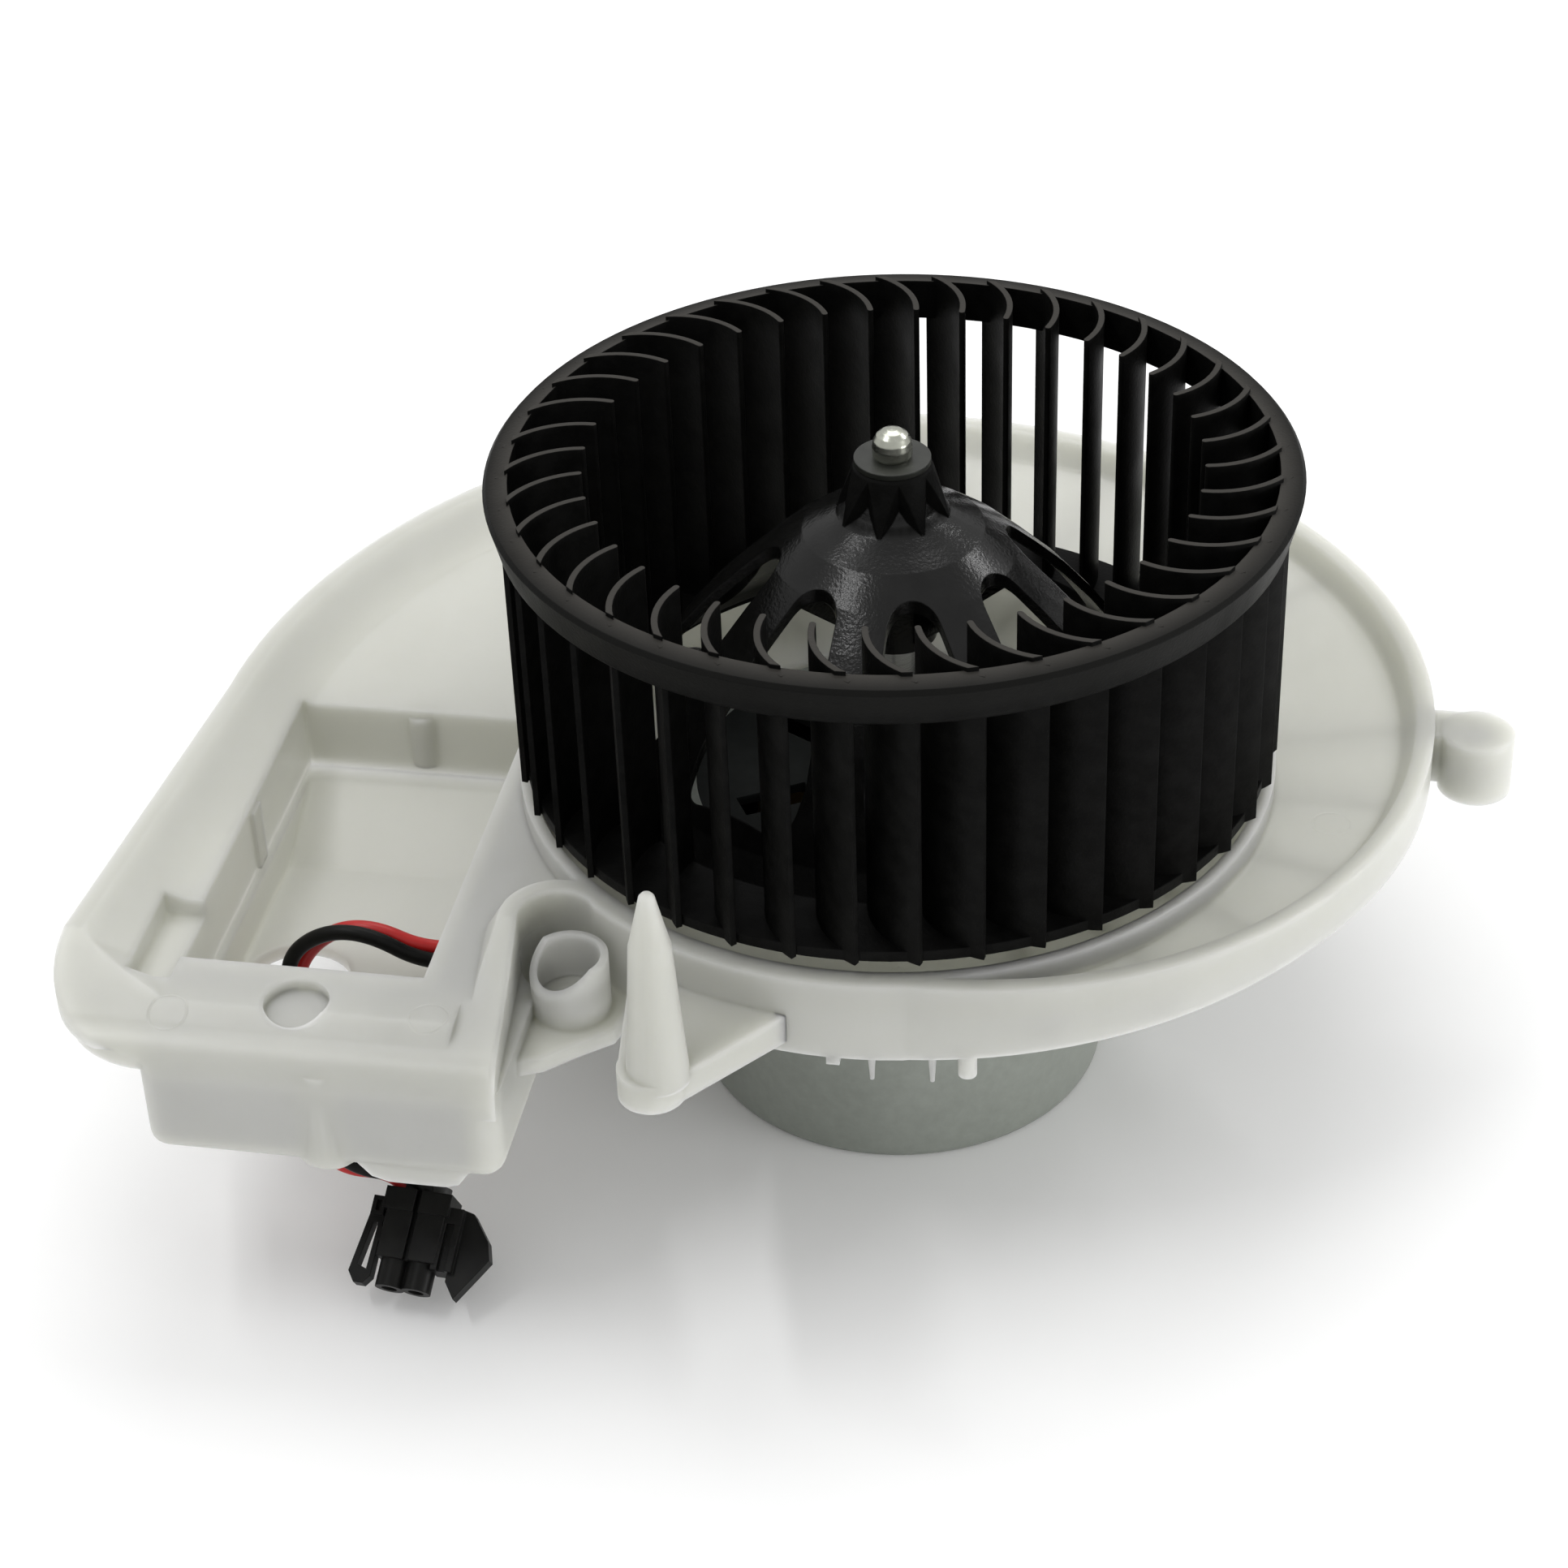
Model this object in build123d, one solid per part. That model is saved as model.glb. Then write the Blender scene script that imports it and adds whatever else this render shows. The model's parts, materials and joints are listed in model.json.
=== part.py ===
from build123d import *
import math
import os

# Vehicle cabin blower: squirrel-cage wheel on a DC motor, hung under a moulded scroll floor.
# Millimetres, +Z up along the shaft, origin on the motor axis at the closed end of the can.

# ---- driving dimensions -------------------------------------------------------------------
RING_OD = 150.0
WHEEL_BOTTOM_Z = 73.0
RING_TOP_Z = 133.0
RING_H = 8.0
BLADE_COUNT = 40
WINDOW_COUNT = 8
CAN_OD = 81.0
CAN_WALL = 1.6
CAN_H = 64.0
SHAFT_D = 8.0
DECK_TOP_Z = 65.0
DECK_T = 2.5
RIM_TOP_Z = 70.0
RIM_T = 3.4
SKIRT_BOTTOM_Z = 53.4
SKIRT_SIDE_Z = 60.3
BOX_FLOOR_Z = 39.0
WALL = 2.5
LEAD_D = 3.0

# wheel
BLADE_TOP_Z = 134.0
BLADE_IN_R = 57.3
BLADE_OUT_R = 72.8
BLADE_TIP_R = 70.9
RING_IN_R = 70.4
BLADE_T = 1.15
BLADE_PHASE = 5.0
BASE_RING_IN_R = 55.5
BASE_RING_OUT_R = 71.2
BASE_RING_T = 2.2
WINDOW_PHASE = -73.0
HUB_T = 2.2
NECK_TOP_Z = 133.0
HUB_BORE_R = 5.0
WASHER_T = 1.1
NUT_BORE_Z = 138.4
NECK_STAR_R = 10.9
NECK_VALLEY_R = 7.5

# hub cone, outer face: radius and height from the neck to the base ring
CONE_PROFILE = [(7.4, 127.0), (8.6, 124.6), (10.6, 122.6), (13.5, 121.0), (17.0, 119.2),
                (23.0, 114.6), (29.0, 108.8), (35.0, 102.6), (41.0, 95.2), (47.5, 86.0), (53.0, 78.5), (57.5, 75.2)]

# scroll outline, radius at each angle round the motor axis
SCROLL_POLAR = [(-80.0, 74.8), (-65.0, 79.0), (-50.0, 83.8), (-25.0, 92.0), (0.0, 100.3),
                (27.0, 109.3), (54.0, 118.2), (78.0, 124.6), (100.0, 129.4), (120.0, 132.8),
                (140.0, 134.7), (160.0, 135.0), (178.6, 135.0)]
FRONT_SKIRT_R = 74.8
LEFT_X_FRONT = -141.7
LEFT_CORNER_Y = -79.0
FRONT_Y = -100.3
FRONT_CORNER_X = -120.5
BOX_RIGHT_X = -56.3
BAY_BACK_X = -60.2
BAY_BACK_Y = -63.5
BAY_MID = (-55.3, -54.6)
BAY_END_ANGLE = -129.0
BOX_LEFT_X = -122.4
BOX_BACK_FLOOR_Y = -16.0
BOX_BACK_TOP_Y = 9.0
BOX_BACK_TOP_Z = 51.0
BOX_CORNER_R = 4.0
BOX_EDGE_R = 3.0
ROLL_TOP = (FRONT_Y + 7.0, 63.1)
ROLL_MID = (FRONT_Y + 1.6, 60.2)
ROLL_BOTTOM_Z = 55.0
RIDGE_W = 1.5

# window over the box
APERTURE_X0 = -121.2
APERTURE_X1 = -74.5
APERTURE_Y0 = -76.6
APERTURE_Y1 = 6.0
COLLAR_DEPTH = 14.0
COLLAR_T = 2.2
POCKET_FLOOR_Z = 61.5

# fixing points
EAR_XY = (110.3, 19.5)
EAR_R = 7.0
EAR_BOTTOM_Z = 57.0
EAR_TOP_Z = 69.6
CUP_XY = (-50.0, -67.2)
CUP_R = 7.3
CUP_BORE_R = 5.9
CUP_BOTTOM_Z = 49.5
CUP_TOP_Z = 65.5
PIN_XY = (-28.6, -91.6)
PIN_BASE_Z = 62.0
PIN_TIP_Z = 100.0
LUG_BOTTOM_Z = 56.0
SCREW_HOLE_R = 2.3
MOTOR_SCREW_PCD = 104.0
MOTOR_SCREW_COUNT = 3
MOTOR_SCREW_PHASE = 30.0
RECESS_XY = (-95.6, -86.0)
RECESS_R = 6.0
RECESS_FLOOR_Z = 62.8

# moulding tips under the skirt, each at a radius and an angle
SPIKE_PLACES = [(73.4, -85.1), (74.3, -76.7)]
SPIKE_TIP_Z = 48.0
TOOTH_TOP_Z = 56.0
PEG_PLACE = (74.9, -71.9)
PEG_R = 1.7
PEG_TIP_Z = 49.5

# motor inside
BEARING_R = 8.0
ARM_R = 27.0
ARM_Z0 = 14.0
ARM_Z1 = 40.0
ARM_SLOTS = 12
COMM_R = 11.0
COMM_Z0 = 50.0
COMM_Z1 = 60.0
BRUSH_Z = 55.0
MAGNET_IN_R = 28.0
MAGNET_Z0 = 10.0
MAGNET_Z1 = 42.0

# leads, centre line of the pair from the motor grommet to the connector
LEAD_EXIT_ANGLE = 212.0
LEAD_EXIT_Z = 49.0
BEND_SHARE = 0.45
END_BEND_SHARE = 0.9
CONN_REAR = (-77.6, -82.2, 15.6)
CONN_FRONT = (-78.7, -96.7, 6.4)
CONN_APPROACH = 5.2
LEAD_MID = [(-57.5, -35.9, 48.4), (-79.0, -49.5, 45.7), (-97.5, -48.3, 54.2),
            (-111.5, -48.2, 43.0), (-106.6, -55.5, 28.9), (-95.7, -86.0, 25.7)]
LEAD_SIDE = [(-0.93, 1.48, 0.0), (-0.93, 1.48, 0.0), (-0.35, 1.6, 0.6), (0.0, 1.7, -0.7),
             (0.6, 1.6, -1.9), (-0.78, 0.47, -1.84), (-1.26, 1.3, -1.26)]

os.makedirs("parts", exist_ok=True)


def polar(r, deg, z=0.0):
    return (r * math.cos(math.radians(deg)), r * math.sin(math.radians(deg)), z)


def disc(r, z0, z1, xy=(0.0, 0.0)):
    return Pos(xy[0], xy[1], (z0 + z1) / 2) * Cylinder(r, z1 - z0)


def ring(r_out, r_in, z0, z1, xy=(0.0, 0.0)):
    return disc(r_out, z0, z1, xy) - disc(r_in, z0 - 1.0, z1 + 1.0, xy)


def block(x0, x1, y0, y1, z0, z1):
    return Pos((x0 + x1) / 2, (y0 + y1) / 2, (z0 + z1) / 2) * Box(x1 - x0, y1 - y0, z1 - z0)


def turned(points):
    outline = make_face(Polyline([(r, 0.0, z) for r, z in points], close=True))
    return revolve(outline, Axis.Z)


def save(node, shape, colour):
    solids = shape.solids()
    body = solids[0] if len(solids) == 1 else Compound(children=list(solids))
    body.label = node
    body.color = Color(*colour)
    export_step(body, "parts/" + node + ".step")
    box = body.bounding_box()
    print(node, len(solids), "valid", body.is_valid, "vol", round(body.volume, 1),
          "x %.1f..%.1f y %.1f..%.1f z %.1f..%.1f" % (box.min.X, box.max.X, box.min.Y,
                                                     box.max.Y, box.min.Z, box.max.Z))
    return body


# ---- wheel --------------------------------------------------------------------------------
def blade_section():
    inner = (BLADE_IN_R, -1.1)
    outer = (71.6, 8.8)
    bulge = (65.7, 1.7)
    spine = ThreePointArc(inner, bulge, outer)
    start = spine @ 0
    end = spine @ 1
    d0 = (spine % 0) * (BLADE_T / 2)
    d1 = (spine % 1) * (BLADE_T / 2)
    n0 = Vector(-d0.Y, d0.X)
    n1 = Vector(-d1.Y, d1.X)
    mid = spine @ 0.5
    dm = (spine % 0.5) * (BLADE_T / 2)
    nm = Vector(-dm.Y, dm.X)
    side_a = ThreePointArc(start + n0, mid + nm, end + n1)
    cap_out = Line(end + n1, end - n1)
    side_b = ThreePointArc(end - n1, mid - nm, start - n0)
    cap_in = ThreePointArc(start - n0, start - d0, start + n0)
    return make_face([side_a, cap_out, side_b, cap_in])


def wheel_blades():
    face = Pos(0, 0, WHEEL_BOTTOM_Z) * blade_section()
    one = extrude(face, BLADE_TOP_Z - WHEEL_BOTTOM_Z)
    below_ring = disc(BLADE_OUT_R, WHEEL_BOTTOM_Z - 1, RING_TOP_Z)
    above_ring = disc(BLADE_TIP_R, RING_TOP_Z, BLADE_TOP_Z + 1)
    one = one & (below_ring + above_ring)
    pitch = 360.0 / BLADE_COUNT
    return [Rot(0, 0, BLADE_PHASE + i * pitch) * one for i in range(BLADE_COUNT)]


def wheel_ring():
    top = RING_OD / 2
    z0 = RING_TOP_Z - RING_H
    return turned([(RING_IN_R, z0), (top - 2.0, z0), (top - 1.6, z0 + 0.5), (top, RING_TOP_Z - 1.1),
                   (top - 0.7, RING_TOP_Z - 0.3), (RING_IN_R, RING_TOP_Z + 0.2)])


def wheel_base_ring():
    return ring(BASE_RING_OUT_R, BASE_RING_IN_R, WHEEL_BOTTOM_Z, WHEEL_BOTTOM_Z + BASE_RING_T)


def hub_shell():
    outer = CONE_PROFILE
    inner = [(r, z - HUB_T * 1.25) for r, z in outer[:-1]]
    inner.append((outer[-1][0], WHEEL_BOTTOM_Z))
    return turned(outer + inner[::-1])


def hub_window(angle):
    # rounded opening that widens towards the rim
    width_in = 5.4
    width_out = 12.0
    r_in = 26.5
    r_out = 50.0
    top = Location((0, 0, WHEEL_BOTTOM_Z - 5))
    nose = Pos(r_in, 0) * Circle(width_in)
    tail = Pos(r_out - 5.0, 0) * RectangleRounded(10.0, 2 * width_out, 4.0)
    shape = make_hull((nose + tail).edges())
    return Rot(0, 0, angle) * extrude(top * shape, 60.0)


def neck_star():
    # flared collar whose lower edge is cut into points that run down the spokes
    flare = turned([(4.0, 118.0), (NECK_STAR_R, 120.0), (NECK_STAR_R, 122.0),
                    (7.4, NECK_TOP_Z - 0.6), (6.9, NECK_TOP_Z), (4.0, NECK_TOP_Z)])
    half = 180.0 / WINDOW_COUNT
    corners = []
    for i in range(WINDOW_COUNT):
        corners.append(polar(NECK_VALLEY_R, WINDOW_PHASE + 2 * i * half, 118.0))
        corners.append(polar(NECK_STAR_R + 0.3, WINDOW_PHASE + (2 * i + 1) * half, 118.0))
    star = extrude(make_face(Polyline(corners, close=True)), 20.0)
    return flare & star


def hub_neck():
    return turned([(HUB_BORE_R, 96.0), (8.0, 96.0), (8.8, 116.0), (8.6, 124.0), (7.4, 127.0),
                   (6.7, NECK_TOP_Z - 0.8), (6.4, NECK_TOP_Z), (HUB_BORE_R, NECK_TOP_Z)])


def hub_under_rib(angle):
    # web under each spoke, from the neck to the cone
    fin = make_face(Polyline([(8.0, 0.0, 119.0), (15.0, 0.0, 118.6), (24.0, 0.0, 111.5),
                              (8.0, 0.0, 98.0)], close=True))
    return Rot(0, 0, angle) * extrude(fin, 0.9, both=True)


def wheel():
    shell = hub_shell()
    pitch = 360.0 / WINDOW_COUNT
    for i in range(WINDOW_COUNT):
        shell = shell - hub_window(WINDOW_PHASE + i * pitch)
    shape = shell + hub_neck() + neck_star()
    for i in range(WINDOW_COUNT):
        spoke = WINDOW_PHASE + (i + 0.5) * pitch
        shape = shape + hub_under_rib(spoke)
    shape = shape + wheel_base_ring()
    shape = shape + wheel_ring()
    shape = shape.fuse(*wheel_blades())
    return shape - disc(HUB_BORE_R, 90.0, 140.0)


def hub_sleeve():
    return ring(HUB_BORE_R, SHAFT_D / 2, 97.0, NECK_TOP_Z)


# ---- tray ---------------------------------------------------------------------------------
def outline(inset, left_extra=0.0):
    pts = []
    for angle, radius in SCROLL_POLAR:
        share = min(max((angle - 70.0) / 70.0, 0.0), 1.0)
        pts.append(polar(radius - inset - left_extra * share, angle)[:2])
    left_x = LEFT_X_FRONT + inset + left_extra
    front_y = FRONT_Y + inset
    corner_in = left_x + 6.0, front_y + 5.6
    r_in = FRONT_SKIRT_R - inset
    right_x = BOX_RIGHT_X - inset
    bay_back = (BAY_BACK_X - inset, BAY_BACK_Y)
    bay_mid = (BAY_MID[0] - 0.3 * inset, BAY_MID[1] + 0.95 * inset)
    bay_end = polar(r_in, BAY_END_ANGLE)[:2]
    start_angle = SCROLL_POLAR[0][0]
    start = pts[0]
    curve = Spline([Vector(*p) for p in pts])
    left = Line(pts[-1], (left_x, LEFT_CORNER_Y))
    corner_x = FRONT_CORNER_X + left_extra * 0.3
    corner = ThreePointArc((left_x, LEFT_CORNER_Y), corner_in, (corner_x, front_y))
    front = Line((corner_x, front_y), (right_x, front_y))
    side = Line((right_x, front_y), bay_back)
    bay = ThreePointArc(bay_back, bay_mid, bay_end)
    skirt = ThreePointArc(bay_end, polar(r_in, (BAY_END_ANGLE + start_angle) / 2)[:2], start)
    return make_face([curve, left, corner, front, side, bay, skirt])


def rim():
    outer = extrude(Pos(0, 0, SKIRT_BOTTOM_Z) * outline(0.0), RIM_TOP_Z - SKIRT_BOTTOM_Z)
    below = extrude(Pos(0, 0, SKIRT_BOTTOM_Z - 1) * outline(WALL), DECK_TOP_Z - DECK_T - SKIRT_BOTTOM_Z + 1)
    low = Pos(0, 0, DECK_TOP_Z) * outline(6.5, 9.0)
    high = Pos(0, 0, RIM_TOP_Z + 0.01) * outline(RIM_T, 0.0)
    dish = loft([low, high])
    return outer - below - dish - skirt_relief()


def skirt_relief():
    # the skirt is deepest in front of the wheel and shorter elsewhere
    low = SKIRT_BOTTOM_Z - 5.0
    face = make_face(Polyline([(12.0, 0.0, low), (12.0, 0.0, SKIRT_BOTTOM_Z), (82.0, 0.0, SKIRT_SIDE_Z),
                               (160.0, 0.0, SKIRT_SIDE_Z), (160.0, 0.0, low)], close=True))
    right = Pos(0, -160.0, 0) * extrude(face, 320.0, dir=(0, 1, 0))
    back = block(-160.0, 20.0, 20.0, 160.0, low, SKIRT_SIDE_Z)
    left = block(-160.0, -100.0, -120.0, 30.0, low, SKIRT_SIDE_Z)
    return right + back + left


def roll_off(start, middle):
    # outline of what is cut away above the front of the box, seen from the side
    low = (0.0, FRONT_Y, ROLL_BOTTOM_Z)
    outer_y = FRONT_Y - 10.0
    top_z = 90.0
    ramp = [Line((0.0,) + a, (0.0,) + b) for a, b in zip([start] + middle, middle + [ROLL_TOP])]
    roll = ThreePointArc((0.0,) + ROLL_TOP, (0.0,) + ROLL_MID, low)
    rest = [Line(low, (0.0, outer_y, ROLL_BOTTOM_Z)),
            Line((0.0, outer_y, ROLL_BOTTOM_Z), (0.0, outer_y, top_z)),
            Line((0.0, outer_y, top_z), (0.0, start[0], top_z)),
            Line((0.0, start[0], top_z), (0.0,) + start)]
    return make_face(ramp + [roll] + rest)


def front_slope():
    # the rim falls away to the front of the box, and a low ridge stands along its right edge
    above_rim = RIM_TOP_Z + 0.02
    frame = roll_off((-77.0, above_rim), [])
    ridge = roll_off((BAY_BACK_Y, above_rim), [(-76.0, 66.2), (-88.0, 63.9)])
    frame_cut = Pos(-160.0, 0, 0) * extrude(frame, 160.0 + BAY_BACK_X - RIDGE_W, dir=(1, 0, 0))
    return frame_cut + Pos(-66.0, 0, 0) * extrude(ridge, 14.0, dir=(1, 0, 0))


def box_body():
    side = make_face(Polyline([(0.0, FRONT_Y, DECK_TOP_Z - DECK_T), (0.0, FRONT_Y, BOX_FLOOR_Z),
                               (0.0, BOX_BACK_FLOOR_Y, BOX_FLOOR_Z),
                               (0.0, BOX_BACK_TOP_Y, BOX_BACK_TOP_Z),
                               (0.0, BOX_BACK_TOP_Y, DECK_TOP_Z - DECK_T)], close=True))
    width = BOX_RIGHT_X - BOX_LEFT_X
    body = Pos(BOX_LEFT_X, 0, 0) * extrude(side, width, dir=(1, 0, 0))
    upright = body.edges().filter_by(Axis.Z).group_by(Axis.Y)[0]
    body = fillet(upright, BOX_CORNER_R)
    under = body.faces().sort_by(Axis.Z)[0].edges()
    return fillet(under.filter_by(lambda e: e.center().Y < BOX_BACK_FLOOR_Y - 1.0), BOX_EDGE_R)


def box_cavity():
    low = BOX_FLOOR_Z + WALL
    ceiling = DECK_TOP_Z - DECK_T
    side = make_face(Polyline([(0.0, -78.0, ceiling), (0.0, FRONT_Y + WALL, 55.0), (0.0, FRONT_Y + WALL, low),
                               (0.0, BOX_BACK_FLOOR_Y - WALL / 2, low),
                               (0.0, BOX_BACK_TOP_Y - WALL, BOX_BACK_TOP_Z + 1.5),
                               (0.0, BOX_BACK_TOP_Y - WALL, ceiling)], close=True))
    width = BAY_BACK_X - WALL - (BOX_LEFT_X + WALL)
    return Pos(BOX_LEFT_X + WALL, 0, 0) * extrude(side, width, dir=(1, 0, 0))


def aperture():
    main = block(APERTURE_X0, APERTURE_X1, APERTURE_Y0, APERTURE_Y1, 50.0, 75.0)
    pocket = block(-128.5, APERTURE_X0 + 1, -82.8, -60.0, POCKET_FLOOR_Z, 75.0)
    return main + pocket


def pocket_shell():
    return block(-131.0, APERTURE_X0, -85.0, -57.8, POCKET_FLOOR_Z - WALL, DECK_TOP_Z - DECK_T + 0.5)


def collar():
    z0 = DECK_TOP_Z - COLLAR_DEPTH
    outer = block(APERTURE_X0 - COLLAR_T, APERTURE_X1 + COLLAR_T, APERTURE_Y0 - COLLAR_T,
                  APERTURE_Y1 + COLLAR_T, z0, DECK_TOP_Z - 0.5)
    return outer


def collar_bead():
    # half-round column on the back wall and a rib on the left wall of the collar
    col = disc(3.2, 52.0, DECK_TOP_Z - 1.5, (-97.0, APERTURE_Y1 + 1.8))
    rib = block(APERTURE_X0 - 0.5, APERTURE_X0 + 0.8, -31.0, -26.5, 51.0, DECK_TOP_Z - 1.0)
    return col + rib


def corner_fill():
    # solid corner where the sloping frame meets the left front of the box
    corner = extrude(Pos(0, 0, 57.0) * outline(1.0), 6.5)
    return corner & block(-145.0, -120.0, FRONT_Y - 2.0, -84.0, 50.0, 70.0)


def cup_boss():
    return disc(CUP_R, CUP_BOTTOM_Z, CUP_TOP_Z, CUP_XY)


def cup_mouth():
    # the cup's mouth slopes down on the side that faces the box front
    side = make_face(Polyline([(-1.5, 0.0, CUP_TOP_Z + 1.0), (0.5, 0.0, CUP_TOP_Z - 0.4),
                               (9.0, 0.0, 59.0), (9.0, 0.0, CUP_TOP_Z + 1.0)], close=True))
    wedge = Pos(0, -CUP_R, 0) * extrude(side, 2 * CUP_R, dir=(0, 1, 0))
    slope = Pos(CUP_XY[0], CUP_XY[1], 0) * Rot(0, 0, -128.0) * wedge
    return slope & disc(CUP_R + 0.2, CUP_BOTTOM_Z, CUP_TOP_Z + 2.0, CUP_XY)


def bay_recess():
    # the corner between the box and the round skirt, where the cup boss stands
    edges = [Line((BOX_RIGHT_X, FRONT_Y - 1.0), (BAY_BACK_X, BAY_BACK_Y)),
             Line((BAY_BACK_X, BAY_BACK_Y), (-30.0, BAY_BACK_Y)),
             Line((-30.0, BAY_BACK_Y), (-30.0, FRONT_Y - 1.0)),
             Line((-30.0, FRONT_Y - 1.0), (BOX_RIGHT_X, FRONT_Y - 1.0))]
    corner = extrude(Pos(0, 0, 57.5) * make_face(edges), 30.0)
    return corner + disc(7.0, 53.7, 87.5, (-53.2, -61.4))


def bay_floor():
    corners = [(-60.0, -86.0), (-52.0, -82.5), (-46.0, -77.0), (-41.0, -73.0), (-38.0, -62.0),
               (-50.0, -54.0), (-60.0, -58.0)]
    plate = extrude(Pos(0, 0, 50.5) * make_face(Polyline(corners, close=True)), 3.2)
    return plate - disc(FRONT_SKIRT_R - 2.0, 40.0, 60.0)


def pin_lug():
    tip = (PIN_XY[0] - 1.3, PIN_XY[1] - 0.4)
    p1 = (-39.0, -66.0)
    p2 = (-8.8, -74.6)
    edges = [Line(p1, (tip[0] - 6.0, tip[1] + 1.5)),
             ThreePointArc((tip[0] - 6.0, tip[1] + 1.5), (tip[0] - 0.6, tip[1] - 5.6),
                           (tip[0] + 6.0, tip[1] - 1.0)),
             Line((tip[0] + 6.0, tip[1] - 1.0), p2),
             Line(p2, p1)]
    plate = extrude(Pos(0, 0, LUG_BOTTOM_Z) * make_face(edges), PIN_BASE_Z - LUG_BOTTOM_Z)
    return plate - disc(FRONT_SKIRT_R - 1.5, 40.0, 80.0)


def locating_pin():
    profile = [(0.0, PIN_BASE_Z - 2.0), (5.9, PIN_BASE_Z - 2.0), (5.6, PIN_BASE_Z),
               (4.6, PIN_TIP_Z - 24.0), (3.8, PIN_TIP_Z - 11.0), (3.3, PIN_TIP_Z - 9.0),
               (1.4, PIN_TIP_Z - 0.6), (0.9, PIN_TIP_Z), (0.0, PIN_TIP_Z)]
    return Pos(PIN_XY[0], PIN_XY[1], 0) * turned(profile)


def ear():
    post = disc(EAR_R, EAR_BOTTOM_Z, EAR_TOP_Z, EAR_XY)
    arm = block(94.0, EAR_XY[0] + 1.0, EAR_XY[1] - 2.0, EAR_XY[1] + EAR_R, 58.5, 69.2)
    inside = extrude(Pos(0, 0, 40.0) * outline(1.0), 40.0)
    return (post + arm) - inside


def seat_collar():
    # socket that takes the motor can from below
    wall = ring(CAN_OD / 2 + 3.2, CAN_OD / 2 + 0.6, 61.2, DECK_TOP_Z)
    lip = ring(72.6, 70.4, DECK_TOP_Z - 1.0, RIM_TOP_Z)
    return wall + lip


def motor_bosses():
    step = 360.0 / MOTOR_SCREW_COUNT
    posts = []
    for i in range(MOTOR_SCREW_COUNT):
        x, y, _ = polar(MOTOR_SCREW_PCD / 2, MOTOR_SCREW_PHASE + i * step)
        posts.append(disc(6.0, 61.0, 66.4, (x, y)))
    return posts


def skirt_ribs():
    ribs = []
    for angle in range(-60, 125, 15):
        if angle == MOTOR_SCREW_PHASE:
            continue
        radius = 73.6 + 0.33 * (angle + 81.0)
        radius = min(radius, 131.0)
        rib = block(44.5, radius - 3.5, -0.9, 0.9, 57.0, DECK_TOP_Z - DECK_T + 0.3)
        ribs.append(Rot(0, 0, angle) * rib)
    return ribs


def skirt_teeth():
    # moulding tips under the skirt: two spikes, a nub and a peg
    teeth = []
    for radius, angle in SPIKE_PLACES:
        x, y, _ = polar(radius, angle)
        spike = turned([(0.0, SPIKE_TIP_Z), (0.4, SPIKE_TIP_Z), (0.9, TOOTH_TOP_Z), (0.0, TOOTH_TOP_Z)])
        teeth.append(Pos(x, y, 0) * spike)
    teeth.append(block(-1.8, 0.6, -74.6, -72.8, 51.6, TOOTH_TOP_Z))
    x, y, _ = polar(PEG_PLACE[0], PEG_PLACE[1])
    teeth.append(disc(PEG_R, PEG_TIP_Z, TOOTH_TOP_Z, (x, y)))
    return teeth


def front_columns():
    # a low tapered bulge down the front of the box and a rounded lip under it
    column = Pos(-89.0, FRONT_Y + 5.3, 0) * turned([(0.0, 37.4), (4.4, 37.4), (6.2, 39.2), (5.2, 59.0), (0.0, 59.0)])
    lip = make_face(Polyline([(-84.0, 0.0, 41.5), (-80.5, 0.0, 37.4), (-77.5, 0.0, 36.4), (-67.0, 0.0, 36.4),
                              (-64.5, 0.0, 37.2), (-61.5, 0.0, 41.5)], close=True))
    return column + Pos(0, FRONT_Y + 0.4, 0) * extrude(lip, 2.4, dir=(0, 1, 0))


def tray():
    deck = extrude(Pos(0, 0, DECK_TOP_Z - DECK_T) * outline(0.5), DECK_T)
    shape = rim() + deck
    shape = shape - disc(CAN_OD / 2 + 1.5, 40.0, 80.0)
    shape = shape + seat_collar()
    for post in motor_bosses():
        shape = shape + post
    shape = shape.fuse(*skirt_ribs())
    shape = shape + (box_body() - bay_recess()) + pocket_shell() + corner_fill()
    shape = shape - front_slope()
    shape = shape - box_cavity() + disc(RECESS_R + 1.6, RECESS_FLOOR_Z - 3.0, RECESS_FLOOR_Z, RECESS_XY)
    shape = shape + collar()
    shape = shape - aperture()
    shape = shape + collar_bead()
    shape = shape + bay_floor() + cup_boss()
    shape = shape + pin_lug() + locating_pin() + ear() + front_columns()
    shape = shape.fuse(*skirt_teeth())
    return shape - tray_holes() - cup_mouth()


def tray_holes():
    # screw holes, lead holes and the blind recess on the front of the box
    step = 360.0 / MOTOR_SCREW_COUNT
    cut = disc(CUP_BORE_R, 56.0, 80.0, CUP_XY)
    cut = cut + disc(SCREW_HOLE_R, 40.0, 80.0, CUP_XY)
    cut = cut + disc(SCREW_HOLE_R, 40.0, 67.0, EAR_XY)
    for i in range(MOTOR_SCREW_COUNT):
        x, y, _ = polar(MOTOR_SCREW_PCD / 2, MOTOR_SCREW_PHASE + i * step)
        cut = cut + disc(4.2, 55.0, 80.0, (x, y))
    cut = cut + disc(RECESS_R, RECESS_FLOOR_Z, 80.0, RECESS_XY)
    cut = cut + disc(10.0, 30.0, 50.0, (-108.0, -51.5))
    slot = block(BAY_BACK_X - 4.0, BOX_RIGHT_X + 3.0, -46.0, -29.5, 44.0, 55.0)
    return cut + slot


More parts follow.
